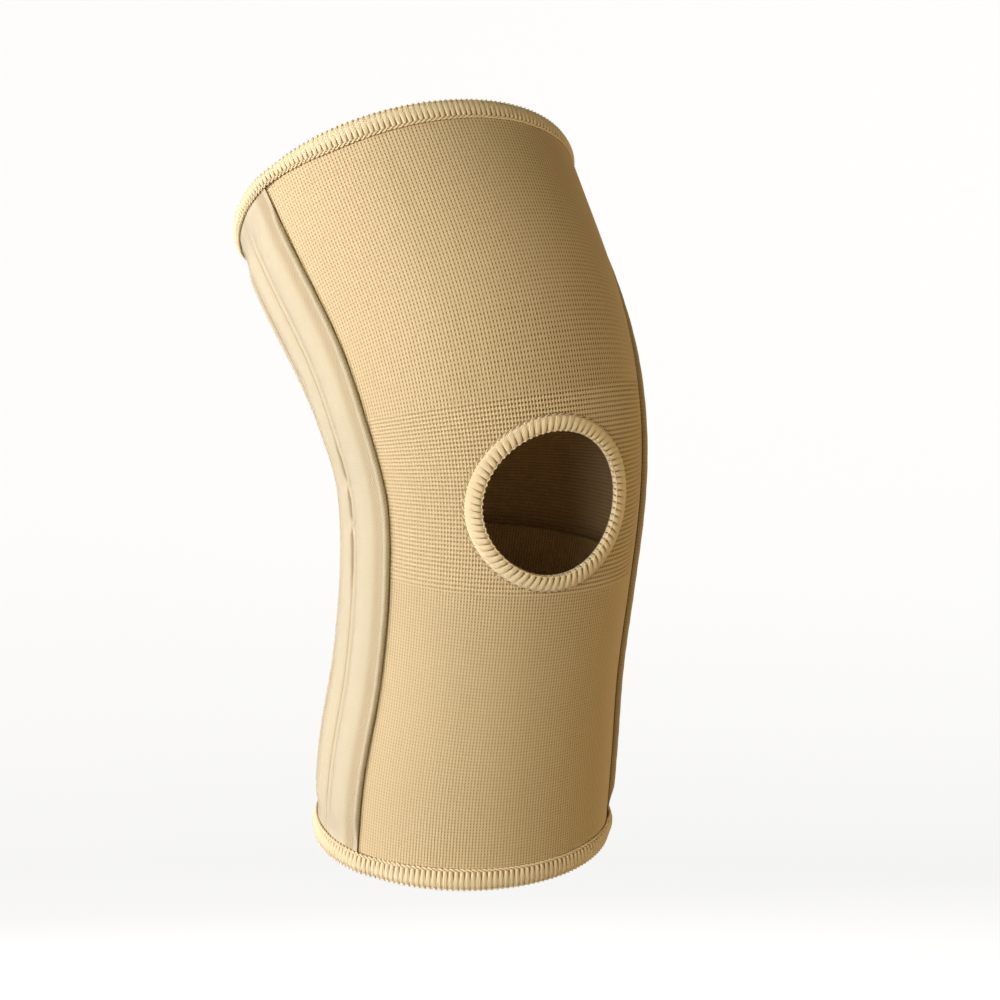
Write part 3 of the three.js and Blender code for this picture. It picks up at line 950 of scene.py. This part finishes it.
def scallops(edge, inset, lift, radius):
    """A thread along the edge that bows out once for each stitch."""
    count = stitch_count(edge)
    steps = 6
    place = np.arange(count * steps) / steps
    turn = place * 360 / count
    phase = 2 * math.pi * place
    deep = inset(turn) + 0.20 * np.cos(phase)
    height = lift(turn) + 0.28 * np.sin(phase)
    path = edge.place(turn, 0.35 * np.sin(phase), deep, height)[None]
    guide = edge.place(turn, 0.35 * np.sin(phase), deep, height + 0.1)[None] - path
    return tubes(path, guide, radius * MM, THREAD_SIDES, closed=True)


def lip(edge):
    """The knit's folded edge under the stitches, coloured dark as painted shade, which reaches onto the cloth
    in dashes as painted shadow under the chain: a closed outline.
    """
    count = 2 * stitch_count(edge)
    turn = (np.arange(count) * 360 / count)[:, None]
    cover = edge.cover(turn)
    wall = edge.wall - STRAND_ROOM
    outside, inside = cover + wall, -KNIT_WALL - LIP_CLEARANCE - wall
    middle = (outside + inside) / 2
    base = 0.35
    width = edge.width(turn) - 0.15
    floor = cover - LIP_CLEARANCE + 0.15
    even = np.arange(count)[:, None] % 2 == 0
    reach = np.where(even, *edge.shadow_flange)
    outline = [
        (width + reach, floor), (width + reach - 0.1, floor + 0.1), (width, floor + 0.12),
        (width - 0.1, outside), (base + 0.5, outside), (base + 0.1, outside - 0.3),
        (base, middle), (base + 0.1, inside + 0.3), (base + 0.5, inside), (width - 0.1, inside),
        (width, inside + wall), (base + 0.9, inside + wall), (base + 0.9, floor)]
    inset = np.concatenate([np.zeros_like(cover) + x for x, _ in outline], 1)
    lift = np.concatenate([np.zeros_like(cover) + y for _, y in outline], 1)
    points = edge.place(turn, 0.0, inset, lift)
    rows, columns = inset.shape
    faces = grid_faces(rows, columns, True, True)
    along = np.arange(rows) * edge.length / rows
    across = np.arange(columns) * 1.0
    thread = grid_uv(across, along, columns, edge.length)
    bake = grid_uv(spread(across, 0.01, 0.95), spread(along, 0.01, 0.97), 0.99, 0.99)
    return points.reshape(-1, 3), [(faces, {"Thread": thread, "OFBake": bake})]


def foot_line(edge, on_rim):
    """The thread along the foot of the stitches: a scalloped one on the rim, a twisted pair on a hem."""
    def beyond(gap):
        return lambda turn: edge.width(turn) + gap

    if on_rim:
        return scallops(edge, beyond(0.35), lambda turn: edge.cover(turn) - 0.22, 0.24)
    return rope(edge, beyond(0.3), edge.on_cloth, 0.38, 0.36)


def overlocked(name, node, edge, slant, thread, under):
    """All the pieces of one overlocked edge."""
    on_rim = isinstance(edge, HoleEdge)
    made = {
        name + "_stitches": (strands(edge, on_rim, slant), thread),
        name + "_chain": (foot_line(edge, on_rim), thread),
        name + "_loops": (scallops(edge, lambda turn: 0.16 + 0 * turn, edge.at_corner, 0.29), thread),
        name + "_lip": (lip(edge), under),
    }
    for piece_name, ((points, groups), material) in made.items():
        flip = edge.turned and piece_name.endswith("_lip")
        dress(make_piece(piece_name, points, facing_out(groups, flip), material), node)


# Stage, camera and lights

def dress(piece, node):
    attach(piece, "root")
    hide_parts(node)


CAMERA_AZIMUTH = -24.14
CAMERA_ELEVATION = 2.76
CAMERA_DISTANCE = 1.05
CAMERA_LENS = 99.47
CAMERA_SHIFT = (0.0103, -0.0121)

# Name, azimuth, elevation, distance, size, power and colour of each light
LIGHTS = (
    ("key_side", -95, 10, 1.6, 1.1, 28.0, (0.88, 0.87, 1.0)),
    ("key_front", -60, 15, 1.6, 1.1, 16.0, (1.0, 1.0, 0.80)),
    ("key_low", -60, -15, 1.6, 1.1, 11.5, (0.90, 0.93, 1.0)),
    ("warm_low", 40, -20, 1.6, 1.1, 18.5, (1.0, 0.78, 0.42)),
    ("warm_side", 105, 0, 1.6, 1.4, 6.5, (1.0, 0.79, 0.50)),
    ("back", 168, 25, 1.8, 1.2, 12.0, (1.0, 0.95, 0.88)),
)

# The stage's outline from the middle of its floor to the top of its dome: radius and level in metres
STAGE_OUTLINE = np.array([
    (0.0, -0.62), (2.6, -0.62), (3.2, -0.50), (3.55, -0.1),
    (3.6, 0.5), (3.6, 3.4), (2.4, 4.2), (0.0, 4.4)])


def towards(azimuth, elevation):
    a, e = math.radians(azimuth), math.radians(elevation)
    return Vector((math.sin(a) * math.cos(e), -math.cos(a) * math.cos(e), math.sin(e)))


def aim(obj, azimuth, elevation, distance):
    """Puts an object out in this direction, looking at the origin."""
    way = towards(azimuth, elevation)
    obj.location = way * distance
    obj.rotation_euler = way.to_track_quat("Z", "Y").to_euler()
    bpy.context.scene.collection.objects.link(obj)


def make_camera():
    data = bpy.data.cameras.new("camera")
    data.sensor_width = 36.0
    data.lens = CAMERA_LENS
    data.shift_x, data.shift_y = CAMERA_SHIFT
    data.clip_end = 30.0
    camera = bpy.data.objects.new("camera", data)
    aim(camera, CAMERA_AZIMUTH, CAMERA_ELEVATION, CAMERA_DISTANCE)
    bpy.context.scene.camera = camera


def make_light(name, azimuth, elevation, distance, size, power, colour):
    data = bpy.data.lights.new(name, "AREA")
    data.shape = "SQUARE"
    data.size = size
    data.energy = power
    data.color = colour
    aim(bpy.data.objects.new(name, data), azimuth, elevation, distance)


def make_lights():
    for light in LIGHTS:
        make_light(*light)
    world = bpy.data.worlds.new("world")
    bpy.context.scene.world = world
    world.use_nodes = True
    background = world.node_tree.nodes["Background"]
    background.inputs["Color"].default_value = (1.0, 0.97, 0.93, 1.0)
    background.inputs["Strength"].default_value = 0.03


def make_stage():
    """A pale floor that curves up into a round wall, so that every view ends on it."""
    radius, level = STAGE_OUTLINE.T
    sides = 72
    turn = 2 * math.pi * np.arange(sides) / sides
    points = np.stack([
        radius[:, None] * np.cos(turn), radius[:, None] * np.sin(turn),
        np.broadcast_to(level[:, None], (len(level), sides))], -1)
    faces = grid_faces(len(level), sides, False, True)[:, ::-1]
    n = Nodes("pale_paper")
    grain = n.noise(n.position(), 40.0, 3.0)
    shader = n.add("ShaderNodeBsdfPrincipled")
    n.put(shader.inputs["Base Color"], n.mix(grain, rgb(0.88, 0.88, 0.87), rgb(0.90, 0.90, 0.89)))
    n.put(shader.inputs["Roughness"], 0.95)
    n.put(shader.inputs["Emission Color"], rgb(1.0, 1.0, 0.995))
    n.put(shader.inputs["Emission Strength"], 0.80)
    n.put(n.add("ShaderNodeOutputMaterial").inputs[0], shader.outputs[0])
    stage = make_piece("stage", points.reshape(-1, 3), [(faces, {})], n.material)
    stage.visible_diffuse = False
    stage.visible_glossy = False


# Everything together

def make_sleeve():
    fine, knee = fine_knit_material(), knee_knit_material()
    thigh = fine_zone("knit_thigh", KNEE_ZONE[1], KNIT_TOP, THIGH_COURSE, fine)
    middle = knee_zone("knit_knee", knee)
    calf = fine_zone("knit_calf", KNIT_BOTTOM, KNEE_ZONE[0], CALF_COURSE, fine)
    for piece in (thigh, middle, calf):
        dress(piece, "knit_sleeve")
    return thigh, middle, calf


make_camera()
make_lights()
make_stage()

sleeve = make_sleeve()
jersey = band_material()
bands = [
    side_band("lateral_cloth_band", -1, 1.0, jersey),
    side_band("medial_cloth_band", 1, 4.0, jersey),
]
for band, node in zip(bands, ("lateral_band", "medial_band")):
    dress(band, node)

thread, under = thread_material(), lip_material()
overlocked("top_edge", "top_hem", HemEdge(THIGH_LENGTH, 1, TOP_HEM_HEIGHT), 0.35, thread, under)
overlocked("bottom_edge", "bottom_hem", HemEdge(-CALF_LENGTH, -1, BOTTOM_HEM_HEIGHT), 0.35, thread, under)
overlocked("kneecap_edge", "patella_rim", HoleEdge(), 1.6, thread, under)

bpy.context.scene.view_settings.view_transform = "Standard"
